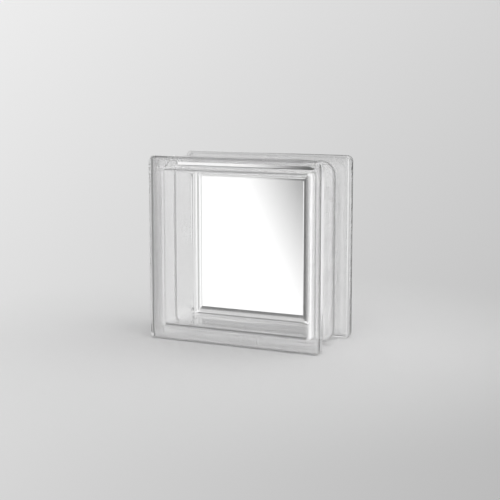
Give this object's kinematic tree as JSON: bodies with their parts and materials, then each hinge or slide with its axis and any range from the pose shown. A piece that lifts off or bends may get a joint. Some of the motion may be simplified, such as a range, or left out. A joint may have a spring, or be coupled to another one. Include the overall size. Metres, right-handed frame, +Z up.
{
  "type": "glass block",
  "caption": "Square hollow block of clear pressed glass with two flat panes and a recessed mortar channel round its edges.",
  "frame": {"origin": "middle of the block's underside, midway between its two faces", "axes": "+X across the block, +Y from the front face to the back face, +Z up"},
  "size_m": [0.19, 0.095, 0.19],
  "materials": {
    "clear_glass": "clear colourless pressed glass, fire polished"
  },
  "bodies": {
    "root": {"front_half": "clear_glass", "back_half": "clear_glass"}
  },
  "joints": []
}
